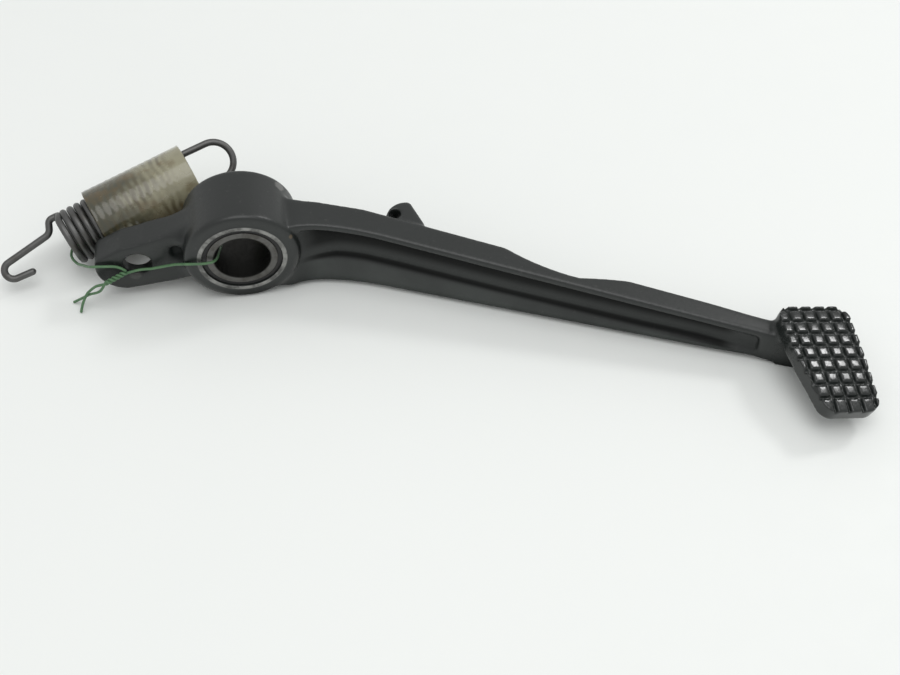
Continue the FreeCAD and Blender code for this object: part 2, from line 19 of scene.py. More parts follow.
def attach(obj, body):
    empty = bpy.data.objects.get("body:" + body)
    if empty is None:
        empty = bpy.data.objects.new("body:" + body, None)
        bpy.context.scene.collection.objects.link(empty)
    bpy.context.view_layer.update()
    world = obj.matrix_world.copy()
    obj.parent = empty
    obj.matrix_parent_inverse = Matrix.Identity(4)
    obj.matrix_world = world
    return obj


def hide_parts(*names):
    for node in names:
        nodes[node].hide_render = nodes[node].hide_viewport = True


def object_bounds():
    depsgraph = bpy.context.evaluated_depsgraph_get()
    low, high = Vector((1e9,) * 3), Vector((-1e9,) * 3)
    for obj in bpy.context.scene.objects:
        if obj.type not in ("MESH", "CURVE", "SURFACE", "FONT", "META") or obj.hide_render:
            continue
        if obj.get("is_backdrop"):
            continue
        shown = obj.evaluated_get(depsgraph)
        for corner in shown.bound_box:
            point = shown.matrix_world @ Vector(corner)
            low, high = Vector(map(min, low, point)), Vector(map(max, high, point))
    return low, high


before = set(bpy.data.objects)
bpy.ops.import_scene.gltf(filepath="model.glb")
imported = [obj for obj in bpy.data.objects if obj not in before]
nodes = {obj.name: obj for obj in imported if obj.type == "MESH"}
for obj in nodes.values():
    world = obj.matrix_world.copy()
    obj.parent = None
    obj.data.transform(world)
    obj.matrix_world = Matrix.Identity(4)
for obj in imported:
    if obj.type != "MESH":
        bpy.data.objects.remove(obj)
cad_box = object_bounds()
MM = 0.001
print("nodes:", ", ".join(sorted(nodes)))

# %% [markdown]
# ## A small kit for node materials
# Every material is a Principled shader fed by a few textures in object coordinates, which are the
# frame's own metres. Nodes could be placed and linked by hand in the shader editor. Here each node
# is one call instead, so that a recipe reads as a formula. `wire_up` puts either a number or
# another node's output on a socket.

# %% Node kit: sockets and coordinates
# The name of the texture coordinates on the spring's wire and on the hose.
WIRE_UV = "wire"


def wire_up(tree, socket, value):
    """Links a node's output to the socket, or sets a plain number, vector or colour on it."""
    if isinstance(value, bpy.types.NodeSocket):
        tree.links.new(value, socket)
    elif isinstance(value, tuple) and len(value) == 3 and socket.type == "RGBA":
        socket.default_value = (*value, 1.0)
    else:
        socket.default_value = value


def start(name):
    """An empty material with a Principled shader: (material, tree, shader)."""
    material = bpy.data.materials.new(name)
    material.use_nodes = True
    tree = material.node_tree
    tree.nodes.clear()
    output = tree.nodes.new("ShaderNodeOutputMaterial")
    shader = tree.nodes.new("ShaderNodeBsdfPrincipled")
    tree.links.new(shader.outputs["BSDF"], output.inputs["Surface"])
    return material, tree, shader


def feed(tree, shader, values):
    """Puts each value on the shader's input of that name."""
    for name, value in values.items():
        wire_up(tree, shader.inputs[name], value)


def point(tree):
    """The object coordinates, in metres."""
    return tree.nodes.new("ShaderNodeTexCoord").outputs["Object"]


def wire_uv(tree):
    """The texture coordinates of a wire or of the hose."""
    node = tree.nodes.new("ShaderNodeUVMap")
    node.uv_map = WIRE_UV
    return node.outputs["UV"]


def stretched(tree, vector, scale):
    """The vector with each axis scaled."""
    node = tree.nodes.new("ShaderNodeMapping")
    wire_up(tree, node.inputs["Vector"], vector)
    node.inputs["Scale"].default_value = scale
    return node.outputs["Vector"]


def axes(tree, vector):
    """The x, y and z of a vector."""
    node = tree.nodes.new("ShaderNodeSeparateXYZ")
    wire_up(tree, node.inputs["Vector"], vector)
    return node.outputs["X"], node.outputs["Y"], node.outputs["Z"]


print("sockets and coordinates ready")

# %% [markdown]
# ## Masks
# Dirt, wear and gloss are masks that go from 0 to 1. Painted by hand they would need an image.
# Noise, distances and smooth steps give them from the place alone, so they stay sharp however near
# the camera comes.

# %% Node kit: masks


def noise(tree, vector, size, detail=3.0, roughness=0.55):
    """Cloudy noise from 0 to 1 whose blobs are about size metres across."""
    node = tree.nodes.new("ShaderNodeTexNoise")
    wire_up(tree, node.inputs["Vector"], vector)
    node.inputs["Scale"].default_value = 1.0 / size
    node.inputs["Detail"].default_value = detail
    node.inputs["Roughness"].default_value = roughness
    return node.outputs["Fac"]


def calc(tree, operation, a, b=0.0):
    """One step of arithmetic."""
    node = tree.nodes.new("ShaderNodeMath")
    node.operation = operation
    wire_up(tree, node.inputs[0], a)
    wire_up(tree, node.inputs[1], b)
    return node.outputs[0]


def times(tree, product, *factors):
    """The product of two or more values."""
    for factor in factors:
        product = calc(tree, "MULTIPLY", product, factor)
    return product


def measure(tree, operation, a, b):
    """One number from two vectors: their dot product or their distance."""
    node = tree.nodes.new("ShaderNodeVectorMath")
    node.operation = operation
    wire_up(tree, node.inputs[0], a)
    wire_up(tree, node.inputs[1], b)
    return node.outputs["Value"]


def fade(tree, value, low, high, out_low=0.0, out_high=1.0):
    """A smooth step from out_low to out_high as value goes from low to high, or down from low to a
    high that is less."""
    node = tree.nodes.new("ShaderNodeMapRange")
    node.interpolation_type = "SMOOTHSTEP"
    wire_up(tree, node.inputs["Value"], value)
    ends = {"From Min": low, "From Max": high, "To Min": out_low, "To Max": out_high}
    for name, number in ends.items():
        node.inputs[name].default_value = number
    return node.outputs["Result"]


print("masks ready")

# %% [markdown]
# ## Colours, edges and bumps
# Colours are laid over each other like coats of paint. Wear shows first at edges, and there is no
# need to mark them by hand: where the true normal and a rounded one part, an edge is near.

# %% Node kit: colours, edges and bumps
# Samples of the bevel and occlusion nodes.
EDGE_SAMPLES = 6
# A Mix node has sockets of one name for each kind of data. These are the places of the colour ones.
MIX_A, MIX_B, MIX_RESULT = 6, 7, 2


def blend(tree, factor, a, b):
    """Colour a where factor is 0, b where it is 1."""
    node = tree.nodes.new("ShaderNodeMix")
    node.data_type = "RGBA"
    wire_up(tree, node.inputs["Factor"], factor)
    wire_up(tree, node.inputs[MIX_A], a)
    wire_up(tree, node.inputs[MIX_B], b)
    return node.outputs[MIX_RESULT]


def layered(tree, colour, *layers):
    """The colour under layers of (factor, colour), each of which shows where its factor is high."""
    for factor, over in layers:
        colour = blend(tree, factor, colour, over)
    return colour


def bevelled(tree, radius):
    """The normal as if sharp edges were rounded by this radius."""
    node = tree.nodes.new("ShaderNodeBevel")
    node.samples = EDGE_SAMPLES
    node.inputs["Radius"].default_value = radius
    return node.outputs["Normal"]


def bump(tree, height, distance, edge_radius=0.0):
    """A bumped normal. With an edge radius, sharp edges look rounded by that much."""
    node = tree.nodes.new("ShaderNodeBump")
    node.inputs["Strength"].default_value = 1.0
    node.inputs["Distance"].default_value = distance
    wire_up(tree, node.inputs["Height"], height)
    if edge_radius:
        wire_up(tree, node.inputs["Normal"], bevelled(tree, edge_radius))
    return node.outputs["Normal"]


def edge_mask(tree, radius):
    """Near 1 close to a sharp edge and 0 on open faces."""
    face = tree.nodes.new("ShaderNodeNewGeometry").outputs["Normal"]
    return fade(tree, measure(tree, "DOT_PRODUCT", bevelled(tree, radius), face), 0.995, 0.93)


print("colours, edges and bumps ready")

# %% [markdown]
# ## Sleeve, bush and seals
# The pedal turns on a steel sleeve. A bronze bush lies between sleeve and hub, and a rubber seal
# keeps the dust out at each end. The CAD's shapes are good as they are and only get a finish. An
# image of rings could stand for the lathe's marks, but a sine of the distance from the axis gives
# true rings about the bore. Inside its bore the sleeve is painted dark: painted shade.

# %% Sleeve steel


def from_bore(tree, x, z):
    """The distance from the bore's axis: sqrt(x^2 + z^2)."""
    return calc(tree, "SQRT", calc(tree, "ADD", times(tree, x, x), times(tree, z, z)))


def turned_rings(tree, radius, pitch):
    """The fine grooves that a lathe leaves: sin(2 pi radius / pitch)."""
    return calc(tree, "SINE", times(tree, radius, math.tau / pitch))


def turned_steel():
    """Worn turned steel with fine rings about the bore, brown stains and painted shade inside."""
    material, tree, shader = start("sleeve_steel_worn")
    where = point(tree)
    x, _, z = axes(tree, where)
    radius = from_bore(tree, x, z)
    colour = layered(
        tree,
        (0.13, 0.128, 0.122),
        (fade(tree, noise(tree, where, 0.005), 0.45, 0.65), (0.09, 0.086, 0.078)),
        # Painted shade: the inside of the bore, within about 9.5 mm of the axis, is darkened.
        (fade(tree, radius, 0.0095, 0.0091), (0.022, 0.022, 0.020)),
    )
    feed(tree, shader, {
        "Base Color": colour,
        "Metallic": 0.85,
        "Roughness": fade(tree, noise(tree, where, 0.0012), 0.3, 0.7, 0.32, 0.55),
        "Normal": bump(tree, turned_rings(tree, radius, 0.0003), 0.00001, 0.0003),
    })
    return material


print("sleeve steel ready")

# %% Bush bronze and seal rubber


def bronze():
    """Turned bronze, oily."""
    material, tree, shader = start("bush_bronze_oiled")
    where = point(tree)
    oil = noise(tree, where, 0.003)
    feed(tree, shader, {
        "Base Color": blend(tree, oil, (0.42, 0.27, 0.11), (0.24, 0.15, 0.07)),
        "Metallic": 1.0,
        "Roughness": fade(tree, noise(tree, where, 0.001), 0.3, 0.7, 0.25, 0.5),
    })
    return material


def seal_rubber():
    """Black rubber with grey dust on it."""
    material, tree, shader = start("seal_rubber_dusty")
    where = point(tree)
    dust = fade(tree, noise(tree, where, 0.002), 0.5, 0.75, 0.0, 0.6)
    feed(tree, shader, {
        "Base Color": blend(tree, dust, (0.012, 0.012, 0.012), (0.045, 0.043, 0.04)),
        "Roughness": fade(tree, dust, 0.0, 0.6, 0.6, 0.85),
        "Normal": bump(tree, noise(tree, where, 0.0006), 0.00004),
    })
    return material


print("bronze and rubber ready")

# %% Dress the sleeve, the bush and the seals


def dress(name, material):
    """One material on a CAD node."""
    slots = nodes[name].data.materials
    slots.clear()
    slots.append(material)


rubber = seal_rubber()
dress("pivot_sleeve", turned_steel())
dress("pivot_bush", bronze())
dress("outer_dust_seal", rubber)
dress("inner_dust_seal", rubber)
print("materials:", ", ".join(sorted(m.name for m in bpy.data.materials if m.use_nodes)))

# %% [markdown]
# ## Meshes from arrays
# New pieces are worked out as whole arrays of points and handed to Blender in one go, which is much
# faster than adding points one by one. A grid that is closed across its columns is the base of
# them all: a wire, a hose and a blend are each such a grid, with or without a cap on its ends.

# %% Mesh builder


def new_mesh(name, points, faces, uv=None):
    """A mesh object from numpy arrays, with an optional texture coordinate per point."""
    mesh = bpy.data.meshes.new(name)
    mesh.from_pydata(points.tolist(), [], faces)
    mesh.polygons.foreach_set("use_smooth", np.ones(len(mesh.polygons), dtype=bool))
    if uv is not None:
        layer = mesh.uv_layers.new(name=WIRE_UV)
        corners = np.empty(len(mesh.loops), dtype=np.int32)
        mesh.loops.foreach_get("vertex_index", corners)
        layer.data.foreach_set("uv", uv[corners].astype(np.float32).ravel())
    mesh.update()
    item = bpy.data.objects.new(name, mesh)
    bpy.context.scene.collection.objects.link(item)
    return item


def grid_faces(rows, columns):
    """Quads of a grid that is closed across its columns."""
    row, column = np.meshgrid(np.arange(rows - 1), np.arange(columns), indexing="ij")
    here, there = row * columns, (row + 1) * columns
    beside = (column + 1) % columns
    corners = (here + column, here + beside, there + beside, there + column)
    return np.stack(corners, axis=-1).reshape(-1, 4)


def capped_faces(rows, columns):
    """The grid's quads and a flat face on its first and on its last row."""
    first = list(range(columns))
    last = [corner + (rows - 1) * columns for corner in first]
    return grid_faces(rows, columns).tolist() + [first[::-1], last]


print("mesh builder ready")

# %% [markdown]
# ## The casting
# On the real pedal hub, arm, foot pad and tail are one casting under paint, and a casting has no
# sharp edge. A bevel on the CAD's triangles would break at their corners. So a copy of the lever's
# solid is joined with a few blends that run the arm and the tail out into the hub, and rebuilt on a
# fine grid of voxels, which makes one skin of them all. The arm's channel is hollowed deeper, and
# the skin is smoothed. From here to the paint, lengths are millimetres.
#
# The arm has its own frame: u runs along it from the pivot, and v across it, away from the viewer.
# An edge of the arm is a height at the arm's start and a slope.

# %% Arm frame
ARM_YAW = math.radians(-23.2)
ARM_WAY = (math.cos(ARM_YAW), math.sin(ARM_YAW), 0.0)
ARM_SIDE = (-math.sin(ARM_YAW), math.cos(ARM_YAW), 0.0)
ARM_TURN = np.array(Matrix.Rotation(ARM_YAW, 3, "Z"))
ARM_START = 13.0
TOP_EDGE, FLANGE_EDGE = (10.6, -0.098), (-6.4, -0.054)


def level(height):
    """A height that is the same everywhere."""
    return lambda u: height


def along_edge(edge, lower=0.0):
    """The height along one of the arm's edges, height + slope (u - start), or that much lower."""
    height, slope = edge
    return lambda u: height + slope * (u - ARM_START) - lower


def step_up(value, low, high):
    """A smooth step: 3 s^2 - 2 s^3, with s going from 0 at low to 1 at high."""
    s = np.clip((value - low) / (high - low), 0.0, 1.0)
    return s * s * (3 - 2 * s)


print("arm direction:", np.round(ARM_WAY, 3))

# %% [markdown]
# ## Blends at the arm
# Where the arm's front meets the hub, the metal flows in a hollow curve. A CAD fillet needs clean
# edges there, and the arm's channel cuts them. So a blend is a plain prism: a flat outline with one
# curved side, carried from one height to another. What overlaps is left to the voxels.

# %% Prism builder


def bow(a, b, c, count=14):
    """A bow from A to C that leans towards B: (1-t)^2 A + 2 t (1-t) B + t^2 C."""
    t = np.linspace(0.0, 1.0, count)[:, None]
    return (1 - t) ** 2 * np.array(a) + 2 * t * (1 - t) * np.array(b) + t**2 * np.array(c)


def flat(u):
    """No lean."""
    return 0.0 * u


def prism(outline, low, high, lean=flat):
    """A closed prism on a flat outline: each corner (u, v) becomes (u, v, low(u)) and
    (u, v + lean(u), high(u))."""
    u, v = np.asarray(outline, dtype=float).T
    bottom = np.column_stack((u, v, np.broadcast_to(low(u), u.shape)))
    top = np.column_stack((u, v + lean(u), np.broadcast_to(high(u), u.shape)))
    return np.vstack((bottom, top)), capped_faces(2, len(u))


print("prism builder ready")

# %% Arm blends
ARM_FRONT, ARM_FOOT, FLANGE_FOOT = 3.3, -17.0, -14.7
# The arm's blends end at this u, and this v lies inside the arm.
BLEND_END, IN_ARM = 46.0, 6.0
CHANNEL_BACK = 3.3


def channel_back(u):
    """How far the channel's floor lies behind the arm's front: flush at the hub, then deeper."""
    return CHANNEL_BACK * step_up(u, 17.0, 33.0)


def flange_edge(u):
    """The top of the bottom flange's edge, which is higher beside the hub."""
    return FLANGE_FOOT + 1.8 * (1 - step_up(u, 17.0, 24.0))


def arm_blends():
    """The front of the lip, of the bottom flange's edge, of the corner under the hub, of the slope
    above that edge and of the channel's floor, run out to the hub's front face. Those beside the
    bore keep clear of it."""
    sweep = bow((17.6, -3.9), (23.0, 2.6), (BLEND_END, ARM_FRONT + 0.1))
    front = np.array((*sweep, (BLEND_END, IN_ARM), (12.9, IN_ARM)))
    under_bore = np.array((*front[:-1], (9.0, IN_ARM), (9.0, -6.0)))
    corner = ((13.2, -6.0), (17.6, -3.9), (19.0, -1.5), (19.0, IN_ARM), (10.0, IN_ARM))
    floor = np.column_stack((front[:, 0], front[:, 1] + channel_back(front[:, 0])))
    runs = (
        (front, along_edge(TOP_EDGE, 2.6), along_edge(TOP_EDGE), flat),
        (under_bore, level(ARM_FOOT), flange_edge, flat),
        (corner, level(-15.5), level(-11.0), flat),
        (front, level(FLANGE_FOOT), along_edge(FLANGE_EDGE), channel_back),
        (floor, level(-8.5), along_edge(TOP_EDGE, 2.0), flat),
    )
    for run in runs:
        points, faces = prism(*run)
        yield points @ ARM_TURN.T, faces


print("arm blends:", len(list(arm_blends())))

# %% [markdown]
# ## Blends at the tail
# Behind the hub the casting runs out into a flat tail with the push rod's eye. The hub's front
# slopes down to it above and below a pocket. Two cones are turned about the bore's axis over just
# those angles, so the pocket stays open between them. A hollow curve over the tail's top is a prism
# once more.

# %% Tail blends
HUB_R, HUB_EDGE = 18.5, -10.6
TAIL_FRONT, TAIL_BACK = -4.9, 4.9


def tail_blends():
    """Two cones of the hub's front that run down to the tail, above and below its pocket, and a
    hollow curve over the tail's top."""
    inside = HUB_R - 1.0
    section = bow((inside, HUB_EDGE), (HUB_R + 0.4, -5.6), (HUB_R + 6.0, TAIL_FRONT))
    out, y = np.vstack((section, ((inside, TAIL_FRONT),))).T
    for first, last in ((160.0, 170.0), (195.0, 212.0)):
        turns = np.radians(np.linspace(first, last, 12))
        rings = [np.column_stack((out * math.cos(a), y, out * math.sin(a))) for a in turns]
        yield np.vstack(rings), capped_faces(len(turns), len(out))
    over = [*bow((-13.5, 12.6), (-18.0, 8.0), (-31.0, 5.2)), (-31.0, 2.0), (-13.5, 2.0)]
    points, faces = prism(over, level(-5.2), level(TAIL_BACK))
    yield points[:, (0, 2, 1)], faces


print("tail blends:", len(list(tail_blends())))

# %% [markdown]
# ## The channel
# The arm's front has a channel between its lip and the bottom flange, and the CAD's is shallow. A
# Boolean cut might leave thin slivers. Pushing the skin's own points back, by a depth that depends
# on their place, keeps the skin whole.

# %% Channel
# How deep the arm's channel is hollowed at each u, and the crease over the bottom flange.
CHANNEL_DEPTH = np.array((
    (17.0, 0.0), (30.0, 2.4), (50.0, 2.4), (88.0, 0.5), (132.0, 0.5), (150.0, 0.9), (160.0, 0.0),
))
CREASE, CREASE_WIDTH = 0.5, 0.6


def channel_depth(u, z):
    """How far the arm's front is hollowed, at u along the arm and the height z: steeply below the
    lip, less towards the bottom flange, with a narrow crease D exp(-(h/w)^2) where they meet."""
    most = np.interp(u, *CHANNEL_DEPTH.T)
    under_lip = along_edge(TOP_EDGE, 2.2)(u) - z
    over_flange = z - along_edge(FLANGE_EDGE)(u)
    share = np.clip(under_lip / (under_lip + over_flange), 0.0, 1.0)
    hollow = step_up(under_lip, 0.0, 1.3) * step_up(over_flange, 0.0, 0.8) * (1 - 0.7 * share)
    return most * (hollow + CREASE * np.exp(-((over_flange / CREASE_WIDTH) ** 2)))


def hollowed(points, normals):
    """The points, with those of the arm's front pushed back by the channel's depth."""
    u, v, z = (points @ ARM_TURN).T
    faces_front = step_up(-(normals @ ARM_TURN)[:, 1], 0.15, 0.5)
    off_hub = step_up(np.hypot(points[:, 0], z), 19.0, 22.0)
    front = faces_front * (v < 9.0) * off_hub
    return points + (channel_depth(u, z) * front)[:, None] * ARM_TURN[:, 1]


print("deepest:", CHANNEL_DEPTH[:, 1].max(), "mm")

# %% [markdown]
# ## Smoothing
# Each round of smoothing moves a point half of the way to the mean of its neighbours: P' = P + 0.5
# (mean(N) - P). Blender's Smooth modifier needs a painted weight to treat points differently. Here
# the number of rounds follows from the place: the foot pad's tread and the hub's turned faces get a
# few only, so that they stay crisp, and the corners beside the hub and at the pad get more.

# %% Smoothing
ROUNDS, CRISP_ROUNDS, SOFT_ROUNDS = 28, 6, 80
# The tread lies beyond this x, the turned faces within this radius and beyond this |y|.
TREAD_X, TURNED_R, TURNED_Y = 162.5, 15.0, 10.2


def rounds_at(points):
    """How many rounds of smoothing each point gets."""
    x, y, z = points.T
    from_axis = np.hypot(x, z)
    beside_hub = step_up(from_axis, 16.5, 18.0) * step_up(from_axis, 27.0, 23.0)
    beside_hub *= step_up(np.abs(y), 8.5, 6.0) * step_up(np.abs(x), 8.0, 13.0)
    soft = np.maximum(beside_hub, step_up(x, 142.0, 158.0))
    rounds = np.rint(ROUNDS + soft * (SOFT_ROUNDS - ROUNDS))
    crisp = (x > TREAD_X) | ((from_axis < TURNED_R) & (np.abs(y) > TURNED_Y))
    return np.where(crisp, CRISP_ROUNDS, rounds).astype(int)


def smoothed(points, edges, rounds):
    """The points after each one's own number of rounds of smoothing."""
    first, second = edges.T
    count = len(points)
    neighbours = np.bincount(edges.ravel(), minlength=count)[:, None]
    for step in range(rounds.max()):
        total = np.stack([
            np.bincount(first, along[second], count) + np.bincount(second, along[first], count)
            for along in points.T
        ], axis=-1)
        moved = points + 0.5 * (total / neighbours - points)
        points = np.where((rounds > step)[:, None], moved, points)
    return points


print("rounds of smoothing:", CRISP_ROUNDS, "to", SOFT_ROUNDS)

# %% [markdown]
# ## Black paint
# The lever is satin black paint over a casting. Where it rubs, at edges and on the hub's faces, the
# metal shows. The foot pad is shinier, because shoes polish it. The arm's channel under its lip and
# the crease over its bottom flange get painted shade, and the flange below gets painted light, so
# those two masks follow the arm's own edges instead of plain noise.

# %% Painted shade, painted light and worn spots
# Worn spots of the paint: centre and radius in metres, strength and colour. They are the nick at
# the hub's back rim, the brown scuff beside the hub and the pale scuff on the ear.
WORN_SPOTS = (
    ((0.0143, 0.0078, 0.0117), 0.0022, 1.0, (0.11, 0.11, 0.105)),
    ((0.0162, -0.0111, 0.0073), 0.0009, 1.0, (0.075, 0.055, 0.032)),
    ((-0.0353, -0.0047, -0.0087), 0.0022, 0.6, (0.06, 0.06, 0.056)),
)


def sloped(tree, u, edge):
    """The height of one of the arm's straight edges: height + slope (u - start)."""
    height, slope = edge
    rise = times(tree, calc(tree, "SUBTRACT", u, ARM_START * MM), slope)
    return calc(tree, "ADD", height * MM, rise)


def arm_front(tree, where, z):
    """Two masks: painted shade, 1 in the arm's channel below the lip and along the crease over the
    bottom flange, and painted light, 1 on that flange."""
    u, v = (measure(tree, "DOT_PRODUCT", where, way) for way in (ARM_WAY, ARM_SIDE))
    below = calc(tree, "SUBTRACT", sloped(tree, u, TOP_EDGE), z)
    over = calc(tree, "SUBTRACT", z, sloped(tree, u, FLANGE_EDGE))
    strip = times(tree, fade(tree, below, 0.0016, 0.0034), fade(tree, over, 0.0025, 0.0065))
    crease = fade(tree, calc(tree, "ABSOLUTE", over), 0.0015, 0.0003)
    normal = tree.nodes.new("ShaderNodeTexCoord").outputs["Normal"]
    faces_back = measure(tree, "DOT_PRODUCT", normal, ARM_SIDE)
    on_arm = times(
        tree,
        fade(tree, v, 0.0095, 0.008),
        fade(tree, u, 0.019, 0.026),
        fade(tree, u, 0.163, 0.157),
        fade(tree, faces_back, 0.4, 0.15),
    )
    # Painted shade: the channel under the lip and the crease over the bottom flange are darkened.
    channel_shade = times(tree, calc(tree, "MAXIMUM", strip, crease), on_arm)
    # Painted light: the second mask lightens the bottom flange below its edge.
    return channel_shade, times(tree, fade(tree, over, -0.0004, -0.002), on_arm)


def worn_spots(tree, where):
    """A layer for each worn spot: 1 inside a ragged spot of about its radius, 0 outside it."""
    for centre, size, strength, colour in WORN_SPOTS:
        apart = measure(tree, "DISTANCE", where, centre)
        ragged = calc(tree, "ADD", apart, times(tree, noise(tree, where, 0.0014), size))
        yield times(tree, fade(tree, ragged, 1.5 * size, 1.1 * size), strength), colour


print("worn spots:", len(WORN_SPOTS))

# %% Black paint


def black_paint():
    """Satin black: cast grain under the paint, painted shade in the arm's channel, painted light on
    its bottom flange, thin worn edges, worn spots, a lighter lower rim at the hub's front, and bare
    turned faces where |y| passes the hub's bosses."""
    material, tree, shader = start("black_paint_worn")
    where = point(tree)
    x, y, z = axes(tree, where)
    radius = from_bore(tree, x, z)
    rings = turned_rings(tree, radius, 0.0004)
    cloud = noise(tree, where, 0.018)
    grain = noise(tree, where, 0.0009, 4.0, 0.65)
    specks = fade(tree, noise(tree, where, 0.0016, 2.0), 0.66, 0.74)
    worn = times(tree, edge_mask(tree, 0.0006), fade(tree, cloud, 0.42, 0.62, 0.0, 0.35))
    channel_shade, flange_light = arm_front(tree, where, z)
    # The hub front's outer rim is painted lighter in patches, most towards its bottom.
    rim = times(
        tree,
        fade(tree, radius, 0.0160, 0.0174),
        fade(tree, y, -0.0096, -0.0106),
        fade(tree, radius, 0.0192, 0.0187),
        fade(tree, z, 0.002, -0.008, 0.0, 0.55),
        fade(tree, cloud, 0.35, 0.6),
    )
    paint = layered(
        tree,
        (0.0075, 0.0095, 0.0088),
        (cloud, (0.014, 0.017, 0.0158)),
        (times(tree, specks, 0.3), (0.05, 0.05, 0.047)),
        (worn, (0.07, 0.07, 0.067)),
        # Painted shade in the arm's channel and its crease.
        (times(tree, channel_shade, 0.8), (0.004, 0.0042, 0.004)),
        # Painted light on the arm's bottom flange.
        (times(tree, flange_light, fade(tree, cloud, 0.3, 0.7, 0.25, 0.6)), (0.045, 0.052, 0.048)),
        *worn_spots(tree, where),
        (rim, (0.085, 0.085, 0.08)),
    )
    steel = layered(
        tree,
        (0.11, 0.11, 0.105),
        (fade(tree, noise(tree, where, 0.004), 0.35, 0.65), (0.33, 0.33, 0.315)),
        (fade(tree, rings, -1.0, 1.0, 0.0, 0.25), (0.08, 0.08, 0.078)),
    )
    on_boss = fade(tree, calc(tree, "ABSOLUTE", y), 0.01155, 0.01165)
    bare = times(tree, on_boss, fade(tree, radius, 0.0145, 0.0142))
    # The gloss is turned down where the occlusion node finds hollows: painted shade on the
    # reflection.
    hollow = tree.nodes.new("ShaderNodeAmbientOcclusion")
    hollow.samples = EDGE_SAMPLES
    hollow.inputs["Distance"].default_value = 0.007
    shine = fade(tree, hollow.outputs["AO"], 0.5, 0.98, 0.05, 0.55)
    # The gloss is lower again in the channel's painted shade.
    shine = calc(tree, "SUBTRACT", shine, times(tree, channel_shade, 0.38))
    polish = fade(tree, x, 0.158, 0.166, 0.0, -0.19)
    height = calc(tree, "ADD", grain, times(tree, cloud, 0.8))
    height = calc(tree, "ADD", height, times(tree, rings, bare, 0.2))
    feed(tree, shader, {
        "Base Color": blend(tree, bare, paint, steel),
        "Metallic": times(tree, bare, 0.7),
        "Specular IOR Level": calc(tree, "MAXIMUM", shine, 0.04),
        "Roughness": calc(tree, "ADD", fade(tree, grain, 0.3, 0.7, 0.32, 0.42), polish),
        "Normal": bump(tree, height, 0.00002),
    })
    return material


print("black paint ready")

# %% [markdown]
# ## One skin
# Now it all comes together: solid and blends in one mesh, the voxels, the channel and the
# smoothing. At the end the mesh is thinned, which keeps the piece light and hardly shows, because
# most of its triangles lie on even faces.

# %% Cast the lever
VOXEL = 0.3
MOST_TRIANGLES = 190000
WELD = 0.001


def blended_solid(name):
    """A mesh of the lever's solid and its blends, each a closed shell."""
    blends = bmesh.new()
    mesh = bpy.data.meshes.new(name)
    for points, faces in (*arm_blends(), *tail_blends()):
        mesh.clear_geometry()
        mesh.from_pydata((points * MM).tolist(), [], faces)
        blends.from_mesh(mesh)
    bmesh.ops.recalc_face_normals(blends, faces=blends.faces)
    blends.to_mesh(mesh)
    blends.free()
    whole = bmesh.new()
    whole.from_mesh(nodes["pedal_lever"].data)
    bmesh.ops.remove_doubles(whole, verts=whole.verts, dist=WELD * MM)
    whole.from_mesh(mesh)
    whole.to_mesh(mesh)
    whole.free()
    return mesh


def settle(item):
    """Applies the item's modifiers to its mesh."""
    view = bpy.context.evaluated_depsgraph_get()
    made = bpy.data.meshes.new_from_object(item.evaluated_get(view))
    item.modifiers.clear()
    item.data = made


def field_of(rows, field, width, kind=float):
    """One field of a mesh's rows as an array."""
    values = np.empty(width * len(rows), dtype=kind)
    rows.foreach_get(field, values)
    return values.reshape(-1, width)


def cast_lever(name):
    """The lever as one rounded casting."""
    item = bpy.data.objects.new(name, blended_solid(name))
    bpy.context.scene.collection.objects.link(item)
    skin = item.modifiers.new("skin", "REMESH")
    skin.mode = "VOXEL"
    skin.voxel_size = VOXEL * MM
    settle(item)
    points = field_of(item.data.vertices, "co", 3) / MM
    points = hollowed(points, field_of(item.data.vertex_normals, "vector", 3))
    edges = field_of(item.data.edges, "vertices", 2, np.int32)
    points = smoothed(points, edges, rounds_at(points))
    item.data.vertices.foreach_set("co", (points * MM).ravel())
    thin = item.modifiers.new("thin", "DECIMATE")
    thin.ratio = min(1.0, MOST_TRIANGLES / (2 * len(item.data.polygons)))
    settle(item)
    item.data.polygons.foreach_set("use_smooth", np.ones(len(item.data.polygons), dtype=bool))
    return item


lever = cast_lever("pedal_lever_cast")
lever.data.materials.clear()
lever.data.materials.append(black_paint())
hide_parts("pedal_lever")
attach(lever, "lever")
print("casting:", len(lever.data.polygons), "faces")

# %% [markdown]
# ## The spring's own frame
# Spring and hose share a frame whose X runs along the coils, with its origin at the hose's end
# beside the eye hook. It is turned by a yaw, a dip and a roll, the same three that the CAD uses.
# The points are turned rather than the objects, because a finished piece's object sits at the
# origin.

# %% Spring frame
SPRING_AT = np.array((-14.59, 28.24, 0.83)) * MM
YAW, DIP, ROLL = (math.radians(angle) for angle in (19.78, -9.44, 45.79))
SPRING_TURN = np.array(
    Matrix.Rotation(YAW, 3, "Z") @ Matrix.Rotation(DIP, 3, "Y") @ Matrix.Rotation(ROLL, 3, "X")
)


def to_frame(points):
    """From the spring's own frame, in millimetres, to the shared frame."""
    return SPRING_AT + (np.asarray(points) * MM) @ SPRING_TURN.T


print("spring axis:", SPRING_TURN[:, 0].round(3))

# %% [markdown]
# ## Wire along a line
# A wire is a round section carried along a line of points. A bevelled curve would do the same, but
# its texture coordinates can't follow the drawn wire's streaks as simply. The section's frame is
# carried from point to point without twist: at each step the old side vector loses its part along
# the new direction. The wire's two ends are closed by small domes with a flat top.

# %% Lines


def unit(vector):
    """The vector at length 1."""
    vector = np.asarray(vector, dtype=float)
    return vector / np.linalg.norm(vector)


def walked(line):
    """How far along the line each of its points lies."""
    return np.concatenate(((0.0,), np.cumsum(np.linalg.norm(np.diff(line, axis=0), axis=1))))


